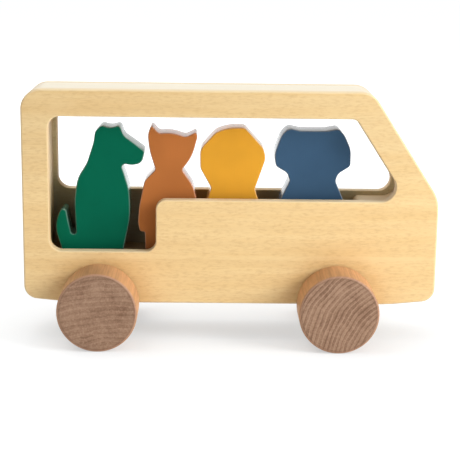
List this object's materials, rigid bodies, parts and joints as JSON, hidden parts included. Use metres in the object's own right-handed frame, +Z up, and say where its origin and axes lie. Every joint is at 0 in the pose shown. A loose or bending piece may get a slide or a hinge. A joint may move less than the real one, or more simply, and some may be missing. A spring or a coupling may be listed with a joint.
{
  "type": "toy bus",
  "caption": "Layered wooden toy bus with open windows, a side doorway and solid turned wheels, carrying loose flat painted animal figures in its cabin.",
  "frame": {"origin": "on the floor under the middle of the bus, midway along its length and across its width", "axes": "+X to the nose, +Y from the doorway side to the plain side, +Z up"},
  "size_m": [0.209, 0.0796, 0.1278],
  "materials": {
    "panel_wood": "pale wood, sanded, clear matt oil",
    "core_wood": "pale wood, sanded, clear matt oil",
    "wheel_wood": "turned beech, end grain on the faces, matt",
    "axle_wood": "plain dowel",
    "green_paint": "matt green paint on the flat faces, glossy paint on the edges",
    "orange_paint": "matt orange paint on the flat faces, glossy paint on the edges",
    "yellow_paint": "matt yellow paint on the flat faces, glossy paint on the edges",
    "blue_paint": "matt blue paint on the flat faces, glossy paint on the edges"
  },
  "bodies": {
    "body_shell": {"near_side_panel": "panel_wood", "far_side_panel": "panel_wood", "floor_board": "core_wood", "nose_block": "core_wood", "rear_post": "core_wood", "roof_board": "core_wood", "rear_axle_block": "core_wood", "front_axle_block": "core_wood"},
    "rear_wheelset": {"rear_axle": "axle_wood", "rear_near_wheel": "wheel_wood", "rear_far_wheel": "wheel_wood"},
    "front_wheelset": {"front_axle": "axle_wood", "front_near_wheel": "wheel_wood", "front_far_wheel": "wheel_wood"},
    "dog": {"green_dog": "green_paint"},
    "cat": {"orange_cat": "orange_paint"},
    "lion": {"yellow_lion": "yellow_paint"},
    "elephant": {"blue_elephant": "blue_paint"}
  },
  "joints": [
    {"name": "rear_axle_spin", "type": "hinge", "parent": "body_shell", "child": "rear_wheelset", "pos_m": [-0.066, 0, 0.02], "axis": [0, 1, 0], "continuous": true},
    {"name": "front_axle_spin", "type": "hinge", "parent": "body_shell", "child": "front_wheelset", "pos_m": [0.054, 0, 0.02], "axis": [0, 1, 0], "continuous": true},
    {"name": "dog_lift", "type": "slide", "parent": "body_shell", "child": "dog", "axis": [0, 0, 1], "range_m": [0, 0.008]},
    {"name": "cat_lift", "type": "slide", "parent": "body_shell", "child": "cat", "axis": [0, 0, 1], "range_m": [0, 0.008]},
    {"name": "lion_lift", "type": "slide", "parent": "body_shell", "child": "lion", "axis": [0, 0, 1], "range_m": [0, 0.008]},
    {"name": "elephant_lift", "type": "slide", "parent": "body_shell", "child": "elephant", "axis": [0, 0, 1], "range_m": [0, 0.008]}
  ]
}
